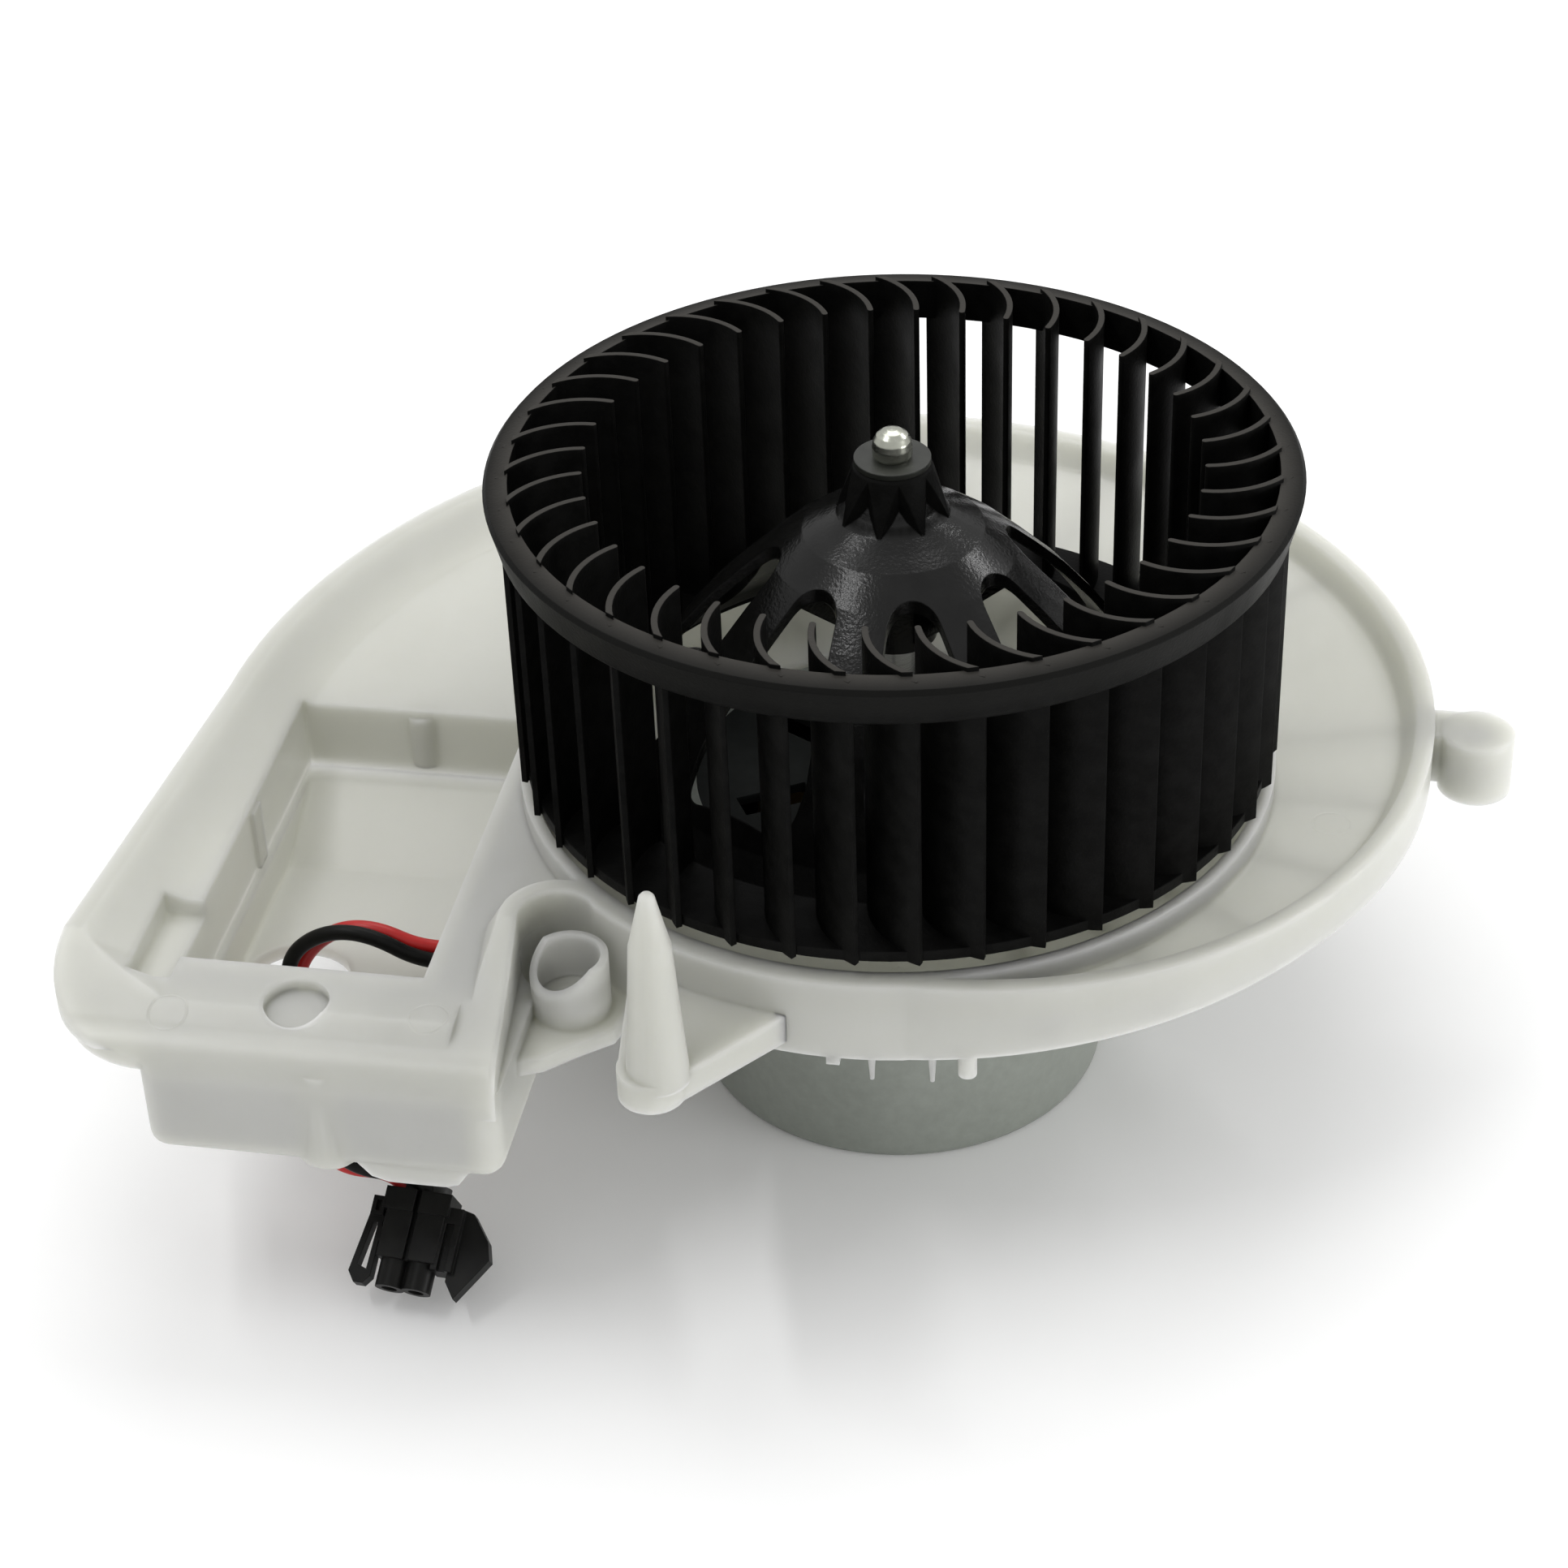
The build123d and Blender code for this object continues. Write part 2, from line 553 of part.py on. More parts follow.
# ---- motor --------------------------------------------------------------------------------
def can():
    r = CAN_OD / 2
    shell = turned([(0.0, 0.0), (9.4, 0.0), (9.9, 0.6), (10.7, 0.6), (11.2, 0.0),
                    (r - 1.2, 0.0), (r - 0.35, 0.35), (r, 1.2),
                    (r, CAN_H), (r - CAN_WALL, CAN_H), (r - CAN_WALL, 3.4), (r - 3.0, CAN_WALL),
                    (13.0, CAN_WALL), (10.2, 3.0), (10.2, 12.0), (8.0, 12.0), (8.0, 3.0), (0.0, 3.0)])
    x, y, _ = polar(r, LEAD_EXIT_ANGLE)
    bore = Pos(x, y, LEAD_EXIT_Z) * Rot(0, 0, LEAD_EXIT_ANGLE) * Rot(0, 90, 0)
    return shell - bore * Cylinder(5.0, 12.0)


def can_flange():
    # steel ring with three ears that carries the motor under the tray
    plate = ring(CAN_OD / 2 + 3.5, CAN_OD / 2, 58.6, 60.6)
    step = 360.0 / MOTOR_SCREW_COUNT
    for i in range(MOTOR_SCREW_COUNT):
        angle = MOTOR_SCREW_PHASE + i * step
        x, y, _ = polar(MOTOR_SCREW_PCD / 2, angle)
        neck = Rot(0, 0, angle) * block(41.5, MOTOR_SCREW_PCD / 2, -6.5, 6.5, 58.6, 60.6)
        plate = plate + neck + disc(6.5, 58.6, 60.6, (x, y))
    for i in range(MOTOR_SCREW_COUNT):
        x, y, _ = polar(MOTOR_SCREW_PCD / 2, MOTOR_SCREW_PHASE + i * step)
        plate = plate - disc(2.0, 50.0, 70.0, (x, y))
    return plate - disc(CAN_OD / 2, 50.0, 70.0)


def mount_fasteners():
    # rubber sleeve, screw and nut at each of the three motor ears
    sleeves = []
    screws = []
    nuts = []
    step = 360.0 / MOTOR_SCREW_COUNT
    for i in range(MOTOR_SCREW_COUNT):
        x, y, _ = polar(MOTOR_SCREW_PCD / 2, MOTOR_SCREW_PHASE + i * step)
        at = Pos(x, y, 0)
        sleeve = turned([(2.0, 60.6), (4.2, 60.6), (4.2, 66.4), (5.6, 66.4), (5.6, 67.6), (2.0, 67.6)])
        shank = disc(2.0, 56.2, 67.7)
        head = turned([(0.0, 67.6), (4.0, 67.6), (4.0, 68.6), (2.6, 70.0), (0.0, 70.0)])
        cross = block(-1.9, 1.9, -0.4, 0.4, 68.9, 71.0) + block(-0.4, 0.4, -1.9, 1.9, 68.9, 71.0)
        nut = extrude(Pos(0, 0, 55.6) * RegularPolygon(4.0, 6), 3.0) - disc(2.0, 50.0, 70.0)
        sleeves.append(at * sleeve)
        screws.append(at * (shank + head - cross))
        nuts.append(at * nut)
    return sleeves, screws, nuts


def end_cap():
    inner = CAN_OD / 2 - CAN_WALL
    plate = turned([(BEARING_R, 61.0), (10.8, 61.0), (10.8, 62.0), (inner, 62.0), (inner, CAN_H),
                    (13.5, CAN_H), (10.8, 66.0), (10.8, 69.6), (9.8, 70.4), (5.2, 70.4),
                    (5.2, 69.0), (BEARING_R, 69.0)])
    for angle in range(30, 360, 60):
        slot = Rot(0, 0, angle) * block(18.0, 32.0, -3.0, 3.0, 60.0, 66.0)
        plate = plate - slot
    return plate


def bearing(z0, z1):
    return turned([(SHAFT_D / 2 + 0.03, z0), (BEARING_R - 2.0, z0), (BEARING_R, z0 + 1.5),
                   (BEARING_R, z1 - 1.5), (BEARING_R - 2.0, z1), (SHAFT_D / 2 + 0.03, z1)])


def shaft():
    r = SHAFT_D / 2
    return turned([(0.0, 3.4), (r - 0.5, 3.4), (r, 3.9), (r, NECK_TOP_Z - 0.4),
                   (r - 0.4, NECK_TOP_Z), (2.0, NECK_TOP_Z), (2.0, NUT_BORE_Z), (0.0, NUT_BORE_Z)])


def laminations():
    core = ring(ARM_R, SHAFT_D / 2, ARM_Z0, ARM_Z1)
    pitch = 360.0 / ARM_SLOTS
    for i in range(ARM_SLOTS):
        mouth = block(20.0, 30.0, -0.9, 0.9, ARM_Z0 - 1, ARM_Z1 + 1)
        pocket = block(14.0, 24.5, -2.3, 2.3, ARM_Z0 - 1, ARM_Z1 + 1)
        core = core - Rot(0, 0, i * pitch) * (mouth + pocket)
    return core


def windings():
    pitch = 360.0 / ARM_SLOTS
    low = turned([(11.2, 11.2), (22.0, 11.2), (24.0, 12.5), (24.0, ARM_Z0), (9.0, ARM_Z0), (9.0, 12.8),
                  (11.2, 12.8)])
    high = turned([(9.0, ARM_Z1), (24.0, ARM_Z1), (24.0, ARM_Z1 + 2.5), (20.0, 46.0), (9.0, 46.0)])
    bars = []
    for i in range(ARM_SLOTS):
        bars.append(Rot(0, 0, i * pitch) * block(14.2, 24.2, -2.1, 2.1, ARM_Z0, ARM_Z1))
    return low.fuse(high, *bars)


def commutator():
    copper = ring(COMM_R, 6.5, COMM_Z0 - 1.5, COMM_Z1 - 0.5)
    pitch = 360.0 / ARM_SLOTS
    for i in range(ARM_SLOTS):
        slit = block(8.5, 12.0, -0.3, 0.3, COMM_Z0 - 3, COMM_Z1 + 1)
        copper = copper - Rot(0, 0, (i + 0.5) * pitch) * slit
    return copper


def commutator_core():
    return ring(6.5, SHAFT_D / 2, 47.0, COMM_Z1 - 0.5)


def magnets():
    body = ring(CAN_OD / 2 - CAN_WALL, MAGNET_IN_R, MAGNET_Z0, MAGNET_Z1)
    keep = extrude(make_face(Polyline([(0.0, 0.0), polar(60.0, -62.0)[:2], (90.0, 0.0),
                                       polar(60.0, 62.0)[:2]], close=True)), 60.0)
    first = body & keep
    return [first, Rot(0, 0, 180) * first]


def magnet_clips():
    body = ring(CAN_OD / 2 - CAN_WALL, CAN_OD / 2 - CAN_WALL - 1.2, MAGNET_Z0, MAGNET_Z1)
    keep = extrude(make_face(Polyline([(0.0, 0.0), polar(60.0, 64.0)[:2], (0.0, 90.0),
                                       polar(60.0, 116.0)[:2]], close=True)), 60.0)
    strip = body & keep
    fold = block(-6.0, 6.0, 31.0, 38.0, MAGNET_Z0 + 2, MAGNET_Z1 - 2)
    fold = fold - block(-4.8, 4.8, 29.0, 36.9, 0.0, 60.0)
    clip = strip + (fold & disc(CAN_OD / 2 - CAN_WALL, 0.0, 60.0))
    return [clip, Rot(0, 0, 180) * clip]


def brush_card():
    card = ring(CAN_OD / 2 - CAN_WALL, 13.0, 51.0, 53.0)
    card = card - Rot(0, 0, 90) * block(22.0, 34.0, -5.0, 5.0, 50.0, 54.0)
    card = card - Rot(0, 0, LEAD_EXIT_ANGLE) * block(32.0, 42.0, -6.6, 6.6, 50.0, 54.0)
    return card


def brush_parts():
    frame = block(12.2, 27.0, -4.2, 4.2, 53.0, 60.0)
    frame = frame - block(11.0, 26.2, -3.4, 3.4, 53.8, 59.2)
    frame = frame - block(14.0, 24.0, -0.8, 0.8, 59.0, 61.0)
    brush = block(11.35, 21.0, -3.3, 3.3, 53.9, 59.1)
    brush = brush - disc(COMM_R + 0.35, 50.0, 62.0)
    turns = 5
    coil_r = 1.9
    length = 4.5
    path = Helix(pitch=length / turns, height=length, radius=coil_r)
    start = path @ 0
    wire = sweep(Plane(origin=start, z_dir=path % 0) * Circle(0.25), path)
    spring = Pos(21.1 + 0.15, 0, 56.5) * Rot(0, 90, 0) * wire
    both = []
    for piece in (frame, brush, spring):
        both.append([piece, Rot(0, 0, 180) * piece])
    return both


def chokes():
    cores = []
    for angle in (55.0, 235.0):
        core = Pos(25.0, 0, 55.8) * Rot(90, 0, 0) * Cylinder(2.8, 13.0)
        cores.append(Rot(0, 0, angle) * core)
    return cores


def thrust_washers():
    upper = ring(6.6, SHAFT_D / 2, COMM_Z1 - 0.4, COMM_Z1 + 0.4)
    lower = ring(6.6, SHAFT_D / 2, 12.4, 13.6)
    return upper, lower


def clamp_washer():
    return ring(7.1, 2.0, NECK_TOP_Z, NECK_TOP_Z + WASHER_T)


def dome_nut():
    z0 = NECK_TOP_Z + WASHER_T
    dome = turned([(0.0, z0), (3.4, z0), (3.7, z0 + 0.6), (3.75, z0 + 2.2), (3.5, z0 + 3.5),
                   (2.9, z0 + 4.6), (2.0, z0 + 5.3), (1.0, z0 + 5.7), (0.0, z0 + 5.8)])
    return dome - disc(2.0, z0 - 1.0, NUT_BORE_Z)


# ---- leads and connector ------------------------------------------------------------------
def conn_plane():
    rear = Vector(*CONN_REAR)
    axis = (Vector(*CONN_FRONT) - rear).normalized()
    side = Vector(-axis.Y, axis.X, 0).normalized()
    return Plane(origin=rear, x_dir=side, z_dir=axis)


CONN_L = (Vector(*CONN_FRONT) - Vector(*CONN_REAR)).length
BARREL_X = 2.6


def connector_housing():
    shape = block(-5.6, 5.6, -3.0, 3.3, 0.0, 12.0)
    shape = shape + block(-6.4, 6.4, -3.4, 3.9, -1.2, 3.0)
    for x in (-BARREL_X, BARREL_X):
        shape = shape + Pos(x, 0, (CONN_L + 6.0) / 2) * Cylinder(2.75, CONN_L - 6.0)
    shape = shape + block(5.0, 9.0, -2.8, 3.0, 1.0, 13.0)
    wing = make_face(Polyline([(8.0, 0.6), (10.6, 1.2), (14.4, 6.0), (15.4, 9.4), (13.4, 12.6),
                               (10.2, 17.6), (8.0, 14.6)], close=True))
    shape = shape + Rot(-90, 0, 0) * Pos(0, 0, -1.4) * mirror_wing(wing)
    shape = shape - block(-0.5, 0.5, 2.2, 5.0, -2.0, 12.5)
    shape = shape - block(6.2, 7.8, 2.0, 4.0, 4.0, 14.0)
    for x in (-BARREL_X, BARREL_X):
        shape = shape - Pos(x, 0, 0.0) * Cylinder(2.3, 6.0)
        shape = shape - Pos(x, 0, CONN_L / 2 + 2.0) * Cylinder(1.5, CONN_L + 4.0)
    return shape


def mirror_wing(face):
    return mirror(extrude(face, 2.8), Plane.XZ)


def connector_latch():
    # sprung loop beside the barrels
    outer = make_face(Polyline([(-8.8, 0.6), (-6.4, 0.6), (-6.4, 15.6), (-7.6, 17.2), (-9.4, 17.2),
                                (-10.8, 15.2)], close=True))
    gap = make_face(Polyline([(-8.2, 5.4), (-7.3, 5.4), (-7.5, 14.4), (-9.4, 13.8)], close=True))
    loop = extrude(outer - gap, 1.3, both=True)
    loop = Rot(90, 0, 0) * loop
    pad = block(-8.9, -6.4, -1.3, 2.4, 0.6, 4.2) - block(-8.1, -7.2, 1.4, 3.0, 1.4, 3.4)
    foot = block(-6.5, -5.6, -1.3, 1.3, 6.0, 9.0)
    return loop + pad + foot


def wire_seals():
    rings = []
    for x in (-BARREL_X, BARREL_X):
        rings.append(Pos(x, 0, 0.0) * (Cylinder(2.3, 6.0) - Cylinder(LEAD_D / 2, 8.0)))
    return rings


def terminals():
    pins = []
    for x in (-BARREL_X, BARREL_X):
        body = Cylinder(1.5, 12.0) - Pos(0, 0, 2.0) * Cylinder(0.95, 10.0)
        pins.append(Pos(x, 0, 3.0 + 6.0) * body)
    return pins


def lead_route(sign):
    plane = conn_plane()
    first = polar(34.0, LEAD_EXIT_ANGLE, LEAD_EXIT_Z)
    points = []
    for centre, side in zip([first] + LEAD_MID, LEAD_SIDE):
        points.append(tuple(c + sign * s for c, s in zip(centre, side)))
    x = -sign * BARREL_X
    entry = plane.from_local_coords(Vector(x, 0, 3.0))
    approach = plane.from_local_coords(Vector(x, 0, -CONN_APPROACH))
    points.append((approach.X, approach.Y, approach.Z))
    points.append((entry.X, entry.Y, entry.Z))
    return [Vector(*p) for p in points]


def lead_tube(name, sign):
    pts = lead_route(sign)
    runs = [(b - a).length for a, b in zip(pts, pts[1:])]
    radii = []
    last = len(pts) - 2
    for i in range(1, last + 1):
        before = pts[i] - pts[i - 1]
        after = pts[i + 1] - pts[i]
        turn = math.radians(before.get_angle(after))
        share = END_BEND_SHARE if i == last else BEND_SHARE
        radii.append(min(BEND_SHARE * runs[i - 1], share * runs[i]) / math.tan(turn / 2))
    path = FilletPolyline(*pts, radius=radii)
    profile = Plane(origin=path @ 0, z_dir=path % 0) * Circle(LEAD_D / 2)
    tube = sweep(profile, path)
    print(name, "length", round(path.length, 1), "runs", [round(r, 1) for r in runs],
          "radii", [round(r, 1) for r in radii],
          "volume ratio", round(tube.volume / (math.pi * (LEAD_D / 2) ** 2 * path.length), 4))
    print(name, "route", [(round(p.X, 2), round(p.Y, 2), round(p.Z, 2)) for p in pts])
    return tube


def grommet():
    r = CAN_OD / 2
    body = Pos(0, 0, r - 1.4) * Cylinder(5.0, 7.0)
    flange = Pos(0, 0, r + 1.5) * Cylinder(6.4, 1.8)
    lip = Pos(0, 0, r - CAN_WALL - 1.2) * Cylinder(5.8, 1.6)
    solid = body + flange + lip
    clear = Pos(0, 0, LEAD_EXIT_Z) * Rot(0, 0, LEAD_EXIT_ANGLE) * Rot(0, 90, 0)
    solid = clear * solid
    solid = solid - (ring(r + 0.001, r - CAN_WALL - 0.001, 30.0, 60.0) - clear * Cylinder(5.0, 120.0))
    return solid


# ---- build --------------------------------------------------------------------------------
def main():
    grey = (0.72, 0.73, 0.74)
    black = (0.06, 0.06, 0.06)
    steel = (0.75, 0.75, 0.77)
    copper = (0.72, 0.42, 0.24)
    nodes = []

    def keep(node, shape, colour):
        if isinstance(shape, list):
            shape = Compound(children=[s for piece in shape for s in piece.solids()])
        nodes.append(save(node, shape, colour))

    keep("scroll_tray", tray(), (0.86, 0.88, 0.84))
    keep("motor_can", can(), grey)
    keep("motor_flange", can_flange(), grey)
    sleeves, screws, nuts = mount_fasteners()
    keep("mount_sleeves", sleeves, black)
    keep("mount_screws", screws, steel)
    keep("mount_nuts", nuts, steel)
    keep("end_cap", end_cap(), (0.25, 0.25, 0.26))
    keep("rear_bearing", bearing(3.0, 11.0), (0.6, 0.5, 0.3))
    keep("front_bearing", bearing(61.0, 69.0), (0.6, 0.5, 0.3))
    keep("magnets", magnets(), (0.2, 0.2, 0.22))
    keep("magnet_clips", magnet_clips(), steel)
    keep("brush_card", brush_card(), (0.4, 0.25, 0.15))
    frames, brushes, springs = brush_parts()
    keep("brush_holders", frames, (0.8, 0.65, 0.3))
    keep("brushes", brushes, (0.15, 0.15, 0.15))
    keep("brush_springs", springs, steel)
    keep("chokes", chokes(), copper)
    keep("shaft", shaft(), steel)
    keep("laminations", laminations(), (0.5, 0.5, 0.5))
    keep("windings", windings(), copper)
    keep("commutator", commutator(), copper)
    keep("commutator_core", commutator_core(), (0.3, 0.2, 0.1))
    upper, lower = thrust_washers()
    keep("thrust_washers", [upper, lower], (0.9, 0.85, 0.6))
    keep("hub_sleeve", hub_sleeve(), (0.8, 0.65, 0.3))
    keep("blower_wheel", wheel(), black)
    keep("clamp_washer", clamp_washer(), steel)
    keep("dome_nut", dome_nut(), steel)

    red_tube = lead_tube("lead_red", 1.0)
    black_tube = lead_tube("lead_black", -1.0)
    print("lead gap", round(red_tube.distance_to(black_tube), 3))
    keep("lead_red", red_tube, (0.75, 0.05, 0.05))
    keep("lead_black", black_tube, (0.04, 0.04, 0.04))
    keep("lead_grommet", grommet() - red_tube - black_tube, black)
    place = conn_plane().location
    keep("connector_housing", place * connector_housing(), black)
    keep("connector_latch", place * connector_latch(), black)
    keep("connector_seals", [place * s for s in wire_seals()], (0.3, 0.3, 0.3))
    keep("connector_terminals", [place * s for s in terminals()], (0.8, 0.7, 0.4))
    print("nodes", len(nodes))


main()
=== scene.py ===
"""Looks for the heater blower assembly: camera, floor, light, leads and materials."""
import json
import math

import bpy
from mathutils import Euler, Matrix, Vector

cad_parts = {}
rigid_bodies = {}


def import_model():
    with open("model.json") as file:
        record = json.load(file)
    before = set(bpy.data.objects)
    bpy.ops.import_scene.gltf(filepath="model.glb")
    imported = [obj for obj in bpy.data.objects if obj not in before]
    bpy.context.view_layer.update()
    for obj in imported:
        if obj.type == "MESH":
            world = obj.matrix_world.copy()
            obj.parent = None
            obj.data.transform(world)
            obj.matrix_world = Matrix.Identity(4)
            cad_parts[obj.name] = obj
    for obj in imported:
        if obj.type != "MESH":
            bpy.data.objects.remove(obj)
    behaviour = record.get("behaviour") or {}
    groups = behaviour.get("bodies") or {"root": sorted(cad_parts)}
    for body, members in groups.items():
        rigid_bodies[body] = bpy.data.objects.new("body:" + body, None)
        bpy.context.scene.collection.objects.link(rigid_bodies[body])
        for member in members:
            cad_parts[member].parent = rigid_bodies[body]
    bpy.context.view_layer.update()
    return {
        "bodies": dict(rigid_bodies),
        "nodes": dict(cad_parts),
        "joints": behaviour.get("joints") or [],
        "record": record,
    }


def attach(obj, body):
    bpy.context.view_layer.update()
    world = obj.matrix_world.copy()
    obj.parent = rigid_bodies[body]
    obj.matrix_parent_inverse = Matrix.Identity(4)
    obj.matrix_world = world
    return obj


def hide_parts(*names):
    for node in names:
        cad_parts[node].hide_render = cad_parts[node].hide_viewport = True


MM = 0.001
LEAD_DIAMETER = 3.0 * MM

# route points of the two leads, in millimetres, from the motor's brush card to the plug
RED_ROUTE = [(-29.76, -16.54, 49.0), (-58.43, -34.42, 48.4), (-79.35, -47.9, 46.3),
             (-97.5, -46.6, 53.5), (-110.9, -46.6, 41.1), (-107.38, -55.03, 27.06),
             (-96.96, -84.7, 24.44), (-79.86, -77.62, 18.38), (-80.38, -84.53, 14.0)]
BLACK_ROUTE = [(-27.9, -19.5, 49.0), (-56.57, -37.38, 48.4), (-78.65, -51.1, 45.1),
               (-97.5, -50.0, 54.9), (-112.1, -49.8, 44.9), (-105.82, -55.97, 30.74),
               (-94.44, -87.3, 26.96), (-74.68, -78.01, 18.38), (-75.2, -84.92, 14.0)]

# camera: lens and sensor in millimetres, place in metres, turn in degrees
LENS = 81.2
SENSOR_WIDTH = 36.0
CLIP_START = 0.01
CAMERA_PLACE = (0.0876, -0.5531, 0.4606)
CAMERA_TURN = (54.4911, 1.7423, 10.0072)

# floor: side length, and its height just under the foot of the motor
FLOOR_SIZE = 8.0
FLOOR_Z = -0.0002

# studio light: the point every softbox aims at, then place, size in metres and power in watts
SUBJECT = (0.0, 0.0, 0.08)
WORLD_STRENGTH = 0.74
SOFTBOXES = {
    "left_strip": ((-0.60, -0.20, 1.28), (0.95, 0.05), 4.4),
    "right_strip": ((0.85, 0.62, 0.90), (0.50, 0.05), 2.4),
    "overhead_back": ((-0.05, 0.60, 1.25), (1.00, 0.70), 5.6),
    "right_low": ((1.00, -0.25, 0.17), (0.50, 0.25), 4.6),
}

# round ejector pin marks on the tray: radius, width of the groove, and centres (x, y)
EJECTOR_RADIUS = 0.0035
EJECTOR_GROOVE = 0.00035
EJECTOR_MARKS = [(0.0838, -0.0081), (-0.1180, -0.0912), (-0.0708, -0.0874),
                 (-0.030, 0.110), (0.060, 0.075)]

# stain on the tray: centre and reach
STAIN_CENTRE = (-0.1130, -0.0026, 0.0590)
STAIN_REACH = 0.009

# what lies above COLLAR_Z + COLLAR_SPREAD / (radius - COLLAR_GAP) is the matte toothed collar
COLLAR_Z = 0.1191
COLLAR_SPREAD = 0.00002
COLLAR_GAP = 0.005
COLLAR_BLEND = 0.0002

# wheel zones, each blended from the first value to the second: radius or height in metres
HUB_RADIUS = (0.050, 0.046)
BAND_RADIUS = (0.0736, 0.0742)
BAND_Z = (0.1170, 0.1180)
# blade tops: height and upward slope of the painted highlight, where lighter grey is painted for
# the light from above
TIP_HIGHLIGHT_Z = (0.1326, 0.1332)
TIP_HIGHLIGHT_SLOPE = (0.75, 0.9)

# leads: smoothness of the drawn curve
LEAD_BEVEL_STEPS = 6
LEAD_CURVE_STEPS = 16

# softened edges and depth of the surface texture, in metres
BEVEL_SAMPLES = 4
TRAY_EDGE = 0.0022
WHEEL_EDGE = 0.0004
METAL_EDGE = 0.0004
MOULDED_EDGE = 0.0003
TRAY_TEXTURE_DEPTH = 0.0006
WHEEL_GRAIN_DEPTH = 0.00015
METAL_LINE_DEPTH = 0.00006
MOULDED_GRAIN_DEPTH = 0.00008


# ---- camera, floor and light ----------------------------------------------------------
def add_camera():
    data = bpy.data.cameras.new("camera")
    data.lens = LENS
    data.sensor_width = SENSOR_WIDTH
    data.clip_start = CLIP_START
    camera = bpy.data.objects.new("camera", data)
    camera.location = CAMERA_PLACE
    camera.rotation_euler = Euler([math.radians(a) for a in CAMERA_TURN], "XYZ")
    bpy.context.scene.collection.objects.link(camera)
    bpy.context.scene.camera = camera


def add_floor(material):
    bpy.ops.mesh.primitive_plane_add(size=FLOOR_SIZE, location=(0.0, 0.0, FLOOR_Z))
    floor = bpy.context.object
    floor.name = "floor"
    floor.data.materials.append(material)


def area_light(name, location, target, size, power):
    data = bpy.data.lights.new(name, "AREA")
    data.shape = "RECTANGLE"
    data.size = size[0]
    data.size_y = size[1]
    data.energy = power
    light = bpy.data.objects.new(name, data)
    light.location = location
    aim = Vector(target) - Vector(location)
    light.rotation_euler = aim.to_track_quat("-Z", "Y").to_euler()
    bpy.context.scene.collection.objects.link(light)


def add_light():
    world = bpy.data.worlds.new("studio")
    world.use_nodes = True
    background = world.node_tree.nodes["Background"]
    background.inputs["Color"].default_value = (1.0, 1.0, 1.0, 1.0)
    background.inputs["Strength"].default_value = WORLD_STRENGTH
    bpy.context.scene.world = world
    for name, (place, size, power) in SOFTBOXES.items():
        area_light(name, place, SUBJECT, size, power)
    bpy.context.scene.view_settings.view_transform = "Standard"


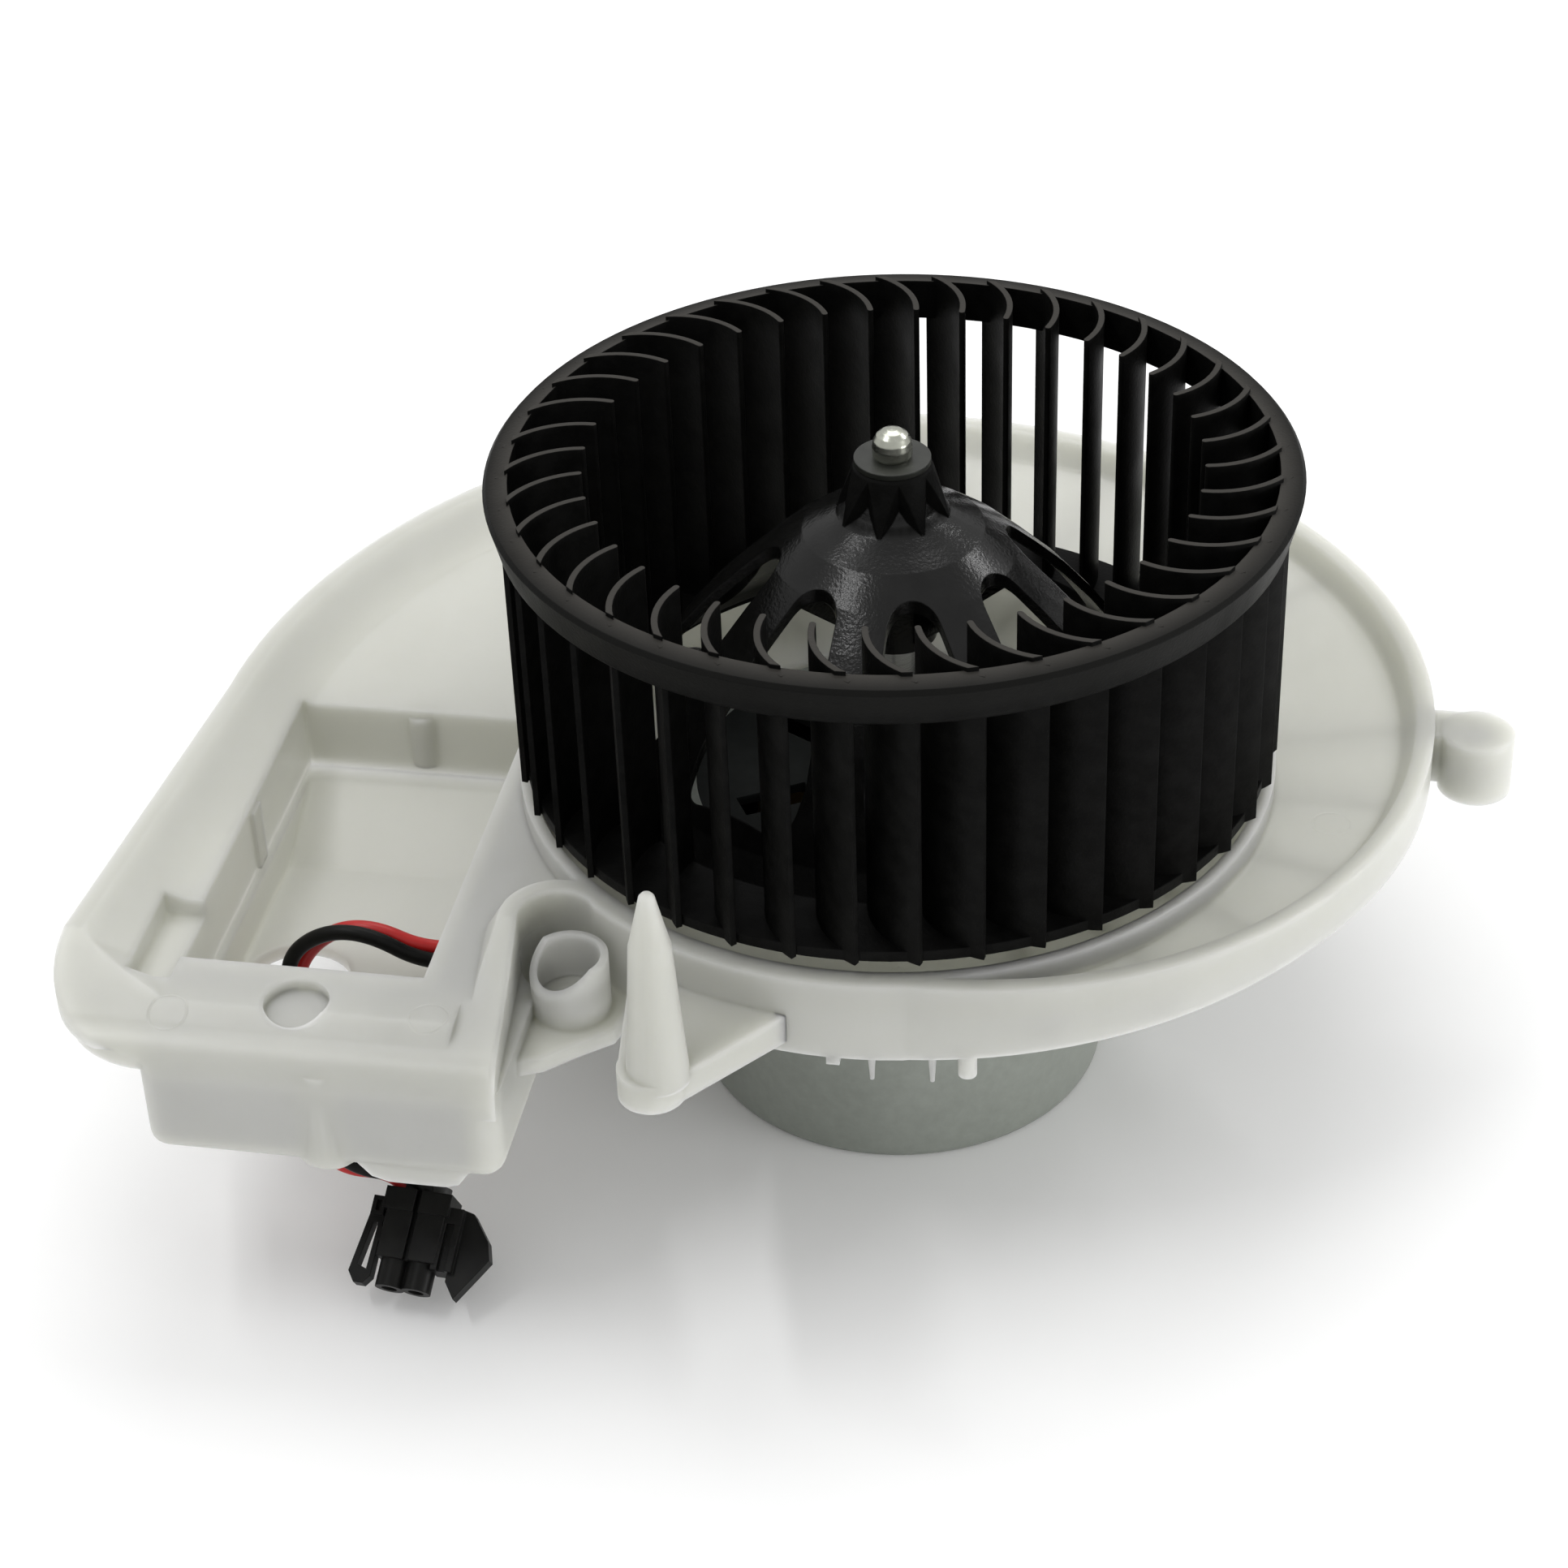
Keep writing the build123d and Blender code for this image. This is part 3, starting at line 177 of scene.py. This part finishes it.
# ---- node helpers ---------------------------------------------------------------------
class Graph:
    """A small wrapper round one material's nodes."""

    def __init__(self, name):
        self.material = bpy.data.materials.new(name)
        self.material.use_nodes = True
        self.tree = self.material.node_tree
        self.shader = self.tree.nodes["Principled BSDF"]
        coords = self.tree.nodes.new("ShaderNodeTexCoord")
        self.place = coords.outputs["Object"]
        self.axes = self.tree.nodes.new("ShaderNodeSeparateXYZ")
        self.link(self.place, self.axes.inputs[0])

    def link(self, source, target):
        self.tree.links.new(source, target)

    def feed(self, socket, value):
        if hasattr(value, "is_linked"):
            self.link(value, socket)
        else:
            socket.default_value = value

    def math(self, kind, a, b=0.0, clamp=False):
        node = self.tree.nodes.new("ShaderNodeMath")
        node.operation = kind
        node.use_clamp = clamp
        self.feed(node.inputs[0], a)
        self.feed(node.inputs[1], b)
        return node.outputs[0]

    def noise(self, scale, detail=4.0, rough=0.55, stretch=(1.0, 1.0, 1.0), warp=0.0):
        mapping = self.tree.nodes.new("ShaderNodeMapping")
        mapping.inputs["Scale"].default_value = stretch
        self.link(self.place, mapping.inputs["Vector"])
        node = self.tree.nodes.new("ShaderNodeTexNoise")
        node.inputs["Scale"].default_value = scale
        node.inputs["Detail"].default_value = detail
        node.inputs["Roughness"].default_value = rough
        node.inputs["Distortion"].default_value = warp
        self.link(mapping.outputs[0], node.inputs["Vector"])
        return node.outputs["Fac"]

    def remap(self, value, low, high, to_low=0.0, to_high=1.0, smooth=False):
        node = self.tree.nodes.new("ShaderNodeMapRange")
        if smooth:
            node.interpolation_type = "SMOOTHSTEP"
        self.feed(node.inputs["Value"], value)
        node.inputs["From Min"].default_value = low
        node.inputs["From Max"].default_value = high
        node.inputs["To Min"].default_value = to_low
        node.inputs["To Max"].default_value = to_high
        return node.outputs["Result"]

    def mix(self, factor, first, second):
        node = self.tree.nodes.new("ShaderNodeMix")
        node.data_type = "RGBA"
        self.feed(node.inputs["Factor"], factor)
        self.feed(node.inputs[6], first)
        self.feed(node.inputs[7], second)
        return node.outputs[2]

    def radius(self, centre=(0.0, 0.0)):
        dx = self.math("SUBTRACT", self.axes.outputs["X"], centre[0])
        dy = self.math("SUBTRACT", self.axes.outputs["Y"], centre[1])
        square = self.math("ADD", self.math("MULTIPLY", dx, dx), self.math("MULTIPLY", dy, dy))
        return self.math("SQRT", square)

    def near(self, centre, reach):
        node = self.tree.nodes.new("ShaderNodeVectorMath")
        node.operation = "DISTANCE"
        self.link(self.place, node.inputs[0])
        node.inputs[1].default_value = centre
        return self.remap(node.outputs["Value"], reach, 0.3 * reach, smooth=True)

    def facing(self, axis):
        geometry = self.tree.nodes.new("ShaderNodeNewGeometry")
        split = self.tree.nodes.new("ShaderNodeSeparateXYZ")
        self.link(geometry.outputs["Normal"], split.inputs[0])
        return split.outputs[axis]

    def bevel(self, radius):
        node = self.tree.nodes.new("ShaderNodeBevel")
        node.samples = BEVEL_SAMPLES
        node.inputs["Radius"].default_value = radius
        return node.outputs["Normal"]

    def bump(self, height, distance, strength=1.0, normal=None):
        node = self.tree.nodes.new("ShaderNodeBump")
        node.inputs["Strength"].default_value = strength
        node.inputs["Distance"].default_value = distance
        self.link(height, node.inputs["Height"])
        if normal is not None:
            self.link(normal, node.inputs["Normal"])
        return node.outputs["Normal"]

    def set(self, name, value):
        self.feed(self.shader.inputs[name], value)


def tone(value):
    return (value[0], value[1], value[2], 1.0)


# ---- materials ------------------------------------------------------------------------
def natural_plastic():
    """Milky unpigmented polypropylene: cloudy, a little see-through, satin gloss."""
    g = Graph("natural_polypropylene")
    cloud = g.noise(14.0, 5.0, 0.6)
    streak = g.noise(30.0, 3.0, 0.5, (1.0, 0.35, 1.0), 0.6)
    blend = g.math("ADD", g.math("MULTIPLY", cloud, 0.6), g.math("MULTIPLY", streak, 0.4))
    base = g.mix(g.remap(blend, 0.35, 0.65), tone((0.44, 0.442, 0.412)), tone((0.48, 0.482, 0.452)))
    speck = g.remap(g.noise(420.0, 2.0, 0.5), 0.66, 0.72)
    dirty = g.math("MULTIPLY", speck, g.near(STAIN_CENTRE, STAIN_REACH), clamp=True)
    base = g.mix(dirty, base, tone((0.10, 0.075, 0.04)))
    g.set("Base Color", base)
    g.set("Roughness", g.remap(g.noise(55.0), 0.3, 0.7, 0.30, 0.40))
    g.set("Subsurface Weight", 1.0)
    g.set("Subsurface Radius", (1.0, 1.0, 0.9))
    g.set("Subsurface Scale", 0.014)
    g.set("IOR", 1.49)
    height = g.math("MULTIPLY", g.noise(38.0, 3.0), 0.6)
    height = g.math("ADD", height, g.math("MULTIPLY", g.noise(1400.0, 2.0), 0.05))
    for centre in EJECTOR_MARKS:
        ring = g.math("ABSOLUTE", g.math("SUBTRACT", g.radius(centre), EJECTOR_RADIUS))
        groove = g.remap(ring, EJECTOR_GROOVE, 0.0, to_high=0.35, smooth=True)
        height = g.math("SUBTRACT", height, groove)
    g.set("Normal", g.bump(height, TRAY_TEXTURE_DEPTH, 0.35, g.bevel(TRAY_EDGE)))
    return g.material


def wheel_plastic():
    """Black moulded wheel: satin blades, band and collar, polished cone, and upward blade tops
    painted lighter grey as a painted highlight of the light from above.
    """
    g = Graph("wheel_plastic")
    radius = g.radius()
    height_z = g.axes.outputs["Z"]
    limit = g.math("DIVIDE", COLLAR_SPREAD, g.math("SUBTRACT", radius, COLLAR_GAP))
    above = g.math("SUBTRACT", g.math("SUBTRACT", height_z, COLLAR_Z), limit)
    collar = g.remap(above, 0.0, COLLAR_BLEND)
    hub = g.math("SUBTRACT", g.remap(radius, *HUB_RADIUS), collar, clamp=True)
    band = g.math("MULTIPLY", g.remap(radius, *BAND_RADIUS), g.remap(height_z, *BAND_Z))
    # painted highlight mask: high blade tops that face up
    tip_highlight = g.math("MULTIPLY", g.remap(height_z, *TIP_HIGHLIGHT_Z), g.remap(g.facing("Z"), *TIP_HIGHLIGHT_SLOPE))
    grain = g.noise(260.0, 4.0)
    base = g.mix(g.remap(grain, 0.35, 0.65), tone((0.0030, 0.0030, 0.0028)),
                 tone((0.0055, 0.0055, 0.0052)))
    base = g.mix(band, base, tone((0.0065, 0.0065, 0.0060)))
    # painted highlight: upward blade tops get a lighter grey
    base = g.mix(g.math("MULTIPLY", tip_highlight, 0.75), base, tone((0.055, 0.052, 0.047)))
    g.set("Base Color", base)
    satin = g.remap(g.noise(90.0), 0.3, 0.7, 0.42, 0.55)
    gloss = g.remap(g.noise(45.0), 0.3, 0.7, 0.17, 0.24)
    g.set("Roughness", g.mix(hub, satin, gloss))
    g.set("Specular IOR Level", g.remap(hub, 0.0, 1.0, 0.045, 0.28))
    height = g.math("ADD", g.noise(1500.0, 2.0), g.math("MULTIPLY", g.noise(60.0, 3.0), 1.5))
    g.set("Normal", g.bump(height, WHEEL_GRAIN_DEPTH, 0.4, g.bevel(WHEEL_EDGE)))
    return g.material


def pressed_steel(name, dark, light, rough, metallic, stretch):
    """Metal with fine lines along one direction and soft mottling."""
    g = Graph(name)
    lines = g.noise(420.0, 3.0, 0.6, stretch)
    mottle = g.noise(35.0, 4.0)
    blend = g.math("ADD", g.math("MULTIPLY", lines, 0.5), g.math("MULTIPLY", mottle, 0.5))
    g.set("Base Color", g.mix(g.remap(blend, 0.35, 0.65), tone(dark), tone(light)))
    g.set("Metallic", metallic)
    g.set("Roughness", g.remap(blend, 0.3, 0.7, rough - 0.05, rough + 0.07))
    g.set("Normal", g.bump(lines, METAL_LINE_DEPTH, 0.35, g.bevel(METAL_EDGE)))
    return g.material


def moulded(name, dark, light, rough, scale=300.0, specular=0.5):
    """Pigmented plastic, rubber, paper or paint with a fine surface texture."""
    g = Graph(name)
    grain = g.noise(scale, 4.0)
    patch = g.noise(scale / 12.0, 3.0)
    blend = g.math("ADD", g.math("MULTIPLY", grain, 0.4), g.math("MULTIPLY", patch, 0.6))
    g.set("Base Color", g.mix(g.remap(blend, 0.35, 0.65), tone(dark), tone(light)))
    g.set("Roughness", g.remap(patch, 0.3, 0.7, rough - 0.06, rough + 0.06))
    g.set("Specular IOR Level", specular)
    g.set("Normal", g.bump(grain, MOULDED_GRAIN_DEPTH, 0.5, g.bevel(MOULDED_EDGE)))
    return g.material


def wound_copper():
    """Enamelled winding wire: fine parallel turns."""
    g = Graph("wound_copper")
    wave = g.tree.nodes.new("ShaderNodeTexWave")
    wave.bands_direction = "Z"
    wave.inputs["Scale"].default_value = 520.0
    wave.inputs["Distortion"].default_value = 1.2
    g.link(g.place, wave.inputs["Vector"])
    turns = wave.outputs["Fac"]
    g.set("Base Color", g.mix(turns, tone((0.20, 0.055, 0.02)), tone((0.55, 0.22, 0.09))))
    g.set("Metallic", 0.85)
    g.set("Roughness", g.remap(g.noise(200.0), 0.3, 0.7, 0.28, 0.42))
    g.set("Normal", g.bump(turns, 0.0002, 0.8))
    return g.material


def stacked_sheet():
    """Lamination stack: thin sheets edge on."""
    g = Graph("stacked_sheet")
    wave = g.tree.nodes.new("ShaderNodeTexWave")
    wave.bands_direction = "Z"
    wave.inputs["Scale"].default_value = 320.0
    g.link(g.place, wave.inputs["Vector"])
    sheets = wave.outputs["Fac"]
    g.set("Base Color", g.mix(sheets, tone((0.10, 0.10, 0.105)), tone((0.30, 0.30, 0.31))))
    g.set("Metallic", 0.8)
    g.set("Roughness", g.remap(g.noise(150.0), 0.3, 0.7, 0.40, 0.55))
    g.set("Normal", g.bump(sheets, 0.00012, 0.6))
    return g.material


def floor_paint():
    g = Graph("floor_paint")
    soft = g.noise(3.0, 2.0)
    g.set("Base Color", g.mix(soft, tone((0.95, 0.95, 0.95)), tone((0.97, 0.97, 0.97))))
    g.set("Roughness", 0.85)
    g.set("Specular IOR Level", 0.1)
    return g.material


def assign(frame, material, *names):
    for name in names:
        mesh = frame["nodes"][name].data
        mesh.materials.clear()
        mesh.materials.append(material)


# pressed or turned metal: name, dark tone, light tone, roughness, metallic, stretch, nodes
DRAWN = (1.0, 1.0, 0.05)
EVEN = (1.0, 1.0, 1.0)
TURNED = (1.0, 1.0, 6.0)
METALS = [
    ("motor_can_steel", (0.26, 0.28, 0.25), (0.31, 0.33, 0.30), 0.36, 0.5, EVEN, ["motor_can"]),
    ("plate_steel", (0.38, 0.38, 0.37), (0.50, 0.50, 0.49), 0.38, 0.9, DRAWN, ["magnet_clips"]),
    # motor flange painted near-black: painted shade and a painted reflection of the black hub above
    # it
    ("flange_steel_painted_shade", (0.030, 0.033, 0.031), (0.050, 0.054, 0.051), 0.5, 0.2, DRAWN,
     ["motor_flange"]),
    ("screw_zinc", (0.45, 0.45, 0.44), (0.62, 0.62, 0.60), 0.30, 0.9, DRAWN,
     ["mount_screws", "mount_nuts"]),
    ("bright_steel", (0.36, 0.37, 0.32), (0.52, 0.53, 0.46), 0.24, 1.0, DRAWN, ["dome_nut"]),
    ("shaft_steel", (0.45, 0.45, 0.46), (0.60, 0.60, 0.61), 0.22, 1.0, TURNED,
     ["shaft", "front_bearing", "rear_bearing"]),
    ("washer_steel", (0.016, 0.017, 0.014), (0.028, 0.030, 0.025), 0.35, 0.3, DRAWN,
     ["clamp_washer"]),
    ("hub_brass", (0.45, 0.34, 0.16), (0.58, 0.45, 0.22), 0.33, 1.0, DRAWN, ["hub_sleeve"]),
    ("spring_steel", (0.40, 0.40, 0.42), (0.55, 0.55, 0.57), 0.3, 1.0, DRAWN,
     ["brush_springs", "connector_terminals"]),
    ("brass", (0.50, 0.36, 0.14), (0.65, 0.48, 0.20), 0.32, 1.0, DRAWN, ["brush_holders"]),
    ("commutator_copper", (0.48, 0.20, 0.09), (0.62, 0.29, 0.14), 0.28, 1.0, DRAWN,
     ["commutator"]),
]

# plastic, rubber, paper and paint: name, dark tone, light tone, roughness, specular level, nodes
MOULDINGS = [
    # end cap painted near-black as painted shade: it stands in for the shadow under the hub that
    # shows through the blades
    ("end_cap_painted_shade", (0.008, 0.009, 0.0085), (0.015, 0.017, 0.016), 0.5, 0.1, ["end_cap"]),
    ("ferrite", (0.045, 0.045, 0.05), (0.075, 0.075, 0.08), 0.6, 0.5, ["magnets", "chokes"]),
    ("carbon", (0.02, 0.02, 0.022), (0.05, 0.05, 0.052), 0.5, 0.5, ["brushes"]),
    ("card_board", (0.020, 0.018, 0.015), (0.034, 0.030, 0.025), 0.5, 0.2,
     ["brush_card", "commutator_core"]),
    ("rubber", (0.012, 0.012, 0.012), (0.022, 0.022, 0.022), 0.68, 0.2,
     ["mount_sleeves", "lead_grommet"]),
    ("seal_rubber", (0.02, 0.02, 0.02), (0.035, 0.035, 0.034), 0.5, 0.2, ["connector_seals"]),
    ("washer_polymer", (0.55, 0.54, 0.48), (0.66, 0.65, 0.58), 0.45, 0.5, ["thrust_washers"]),
    ("connector_black", (0.004, 0.004, 0.004), (0.010, 0.010, 0.009), 0.42, 0.12,
     ["connector_housing", "connector_latch"]),
]


def dress_nodes(frame):
    assign(frame, natural_plastic(), "scroll_tray")
    assign(frame, wheel_plastic(), "blower_wheel")
    for name, dark, light, rough, metallic, stretch, nodes in METALS:
        assign(frame, pressed_steel(name, dark, light, rough, metallic, stretch), *nodes)
    for name, dark, light, rough, specular, nodes in MOULDINGS:
        assign(frame, moulded(name, dark, light, rough, specular=specular), *nodes)
    assign(frame, wound_copper(), "windings")
    assign(frame, stacked_sheet(), "laminations")


# ---- leads ----------------------------------------------------------------------------
def add_lead(name, route, node, material):
    data = bpy.data.curves.new(name, "CURVE")
    data.dimensions = "3D"
    data.bevel_depth = LEAD_DIAMETER / 2
    data.bevel_resolution = LEAD_BEVEL_STEPS
    data.use_fill_caps = True
    spline = data.splines.new("NURBS")
    spline.points.add(len(route) - 1)
    for point, place in zip(spline.points, route):
        point.co = (place[0] * MM, place[1] * MM, place[2] * MM, 1.0)
    spline.order_u = 3
    spline.use_endpoint_u = True
    spline.resolution_u = LEAD_CURVE_STEPS
    data.materials.append(material)
    lead = bpy.data.objects.new(name, data)
    bpy.context.scene.collection.objects.link(lead)
    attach(lead, "base")
    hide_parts(node)


def add_leads():
    red = moulded("pvc_red", (0.40, 0.012, 0.012), (0.50, 0.02, 0.018), 0.33,
                  scale=500.0, specular=0.3)
    black = moulded("pvc_black", (0.004, 0.004, 0.004), (0.008, 0.008, 0.007), 0.36,
                    scale=500.0, specular=0.10)
    add_lead("red_lead", RED_ROUTE, "lead_red", red)
    add_lead("black_lead", BLACK_ROUTE, "lead_black", black)


def main():
    for item in list(bpy.data.objects):
        bpy.data.objects.remove(item)
    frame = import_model()
    add_camera()
    add_light()
    add_floor(floor_paint())
    add_leads()
    dress_nodes(frame)
    bpy.context.view_layer.update()


main()
